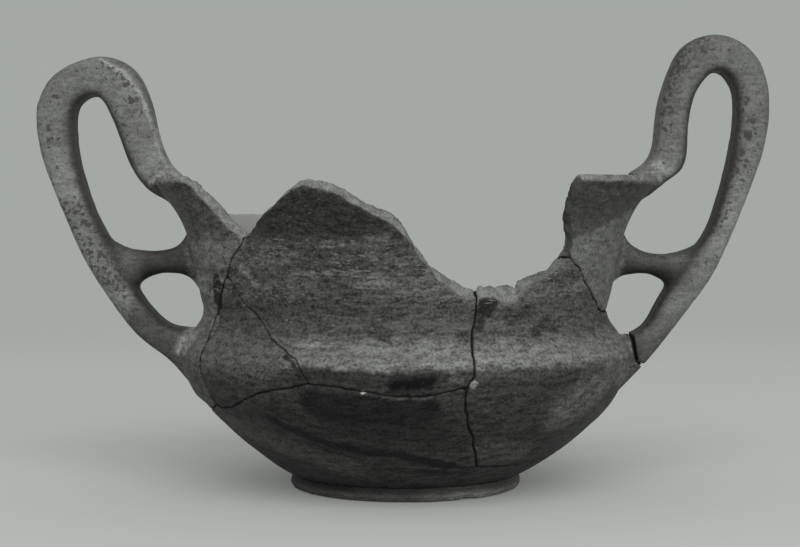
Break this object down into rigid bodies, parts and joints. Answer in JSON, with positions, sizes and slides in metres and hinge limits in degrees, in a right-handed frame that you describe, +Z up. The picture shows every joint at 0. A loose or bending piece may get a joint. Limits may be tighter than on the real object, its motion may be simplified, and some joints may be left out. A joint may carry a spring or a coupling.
{
  "type": "kantharos cup",
  "caption": "High-handled drinking cup with a keeled bowl, ring foot, strap handles and struts, mended from sherds, with part of its wall lost.",
  "frame": {"origin": "on the axis of the bowl, in the plane of the foot ring's resting edge", "axes": "+Z up along the axis of the bowl; the handles stand in the XZ plane, the one with the broken root on +X; -Y is the front, the side the picture shows"},
  "size_m": [0.2402, 0.1502, 0.1481],
  "materials": {
    "slipped_clay": "worn matt dark slip over pale fired clay, which shows in the breaks",
    "plaster_fill": "matt toned plaster",
    "old_glue": "dull dark resin"
  },
  "bodies": {
    "root": {"left_handle_sherd": "slipped_clay", "left_shoulder_sherd": "slipped_clay", "front_peak_sherd": "slipped_clay", "base_sherd": "slipped_clay", "right_body_sherd": "slipped_clay", "right_handle_sherd": "slipped_clay", "back_right_sherd": "slipped_clay", "foot_ring": "slipped_clay", "left_handle_strap": "slipped_clay", "right_handle_strap": "slipped_clay", "left_handle_strut": "slipped_clay", "right_handle_strut": "slipped_clay", "back_left_fill": "plaster_fill", "left_handle_front_glue": "old_glue", "base_front_glue": "old_glue", "right_body_glue": "old_glue", "right_handle_glue": "old_glue", "left_shoulder_glue": "old_glue", "base_right_glue": "old_glue", "base_back_glue": "old_glue", "left_handle_back_glue": "old_glue", "fill_side_glue": "old_glue", "back_right_glue": "old_glue", "right_root_glue": "old_glue"}
  },
  "joints": []
}
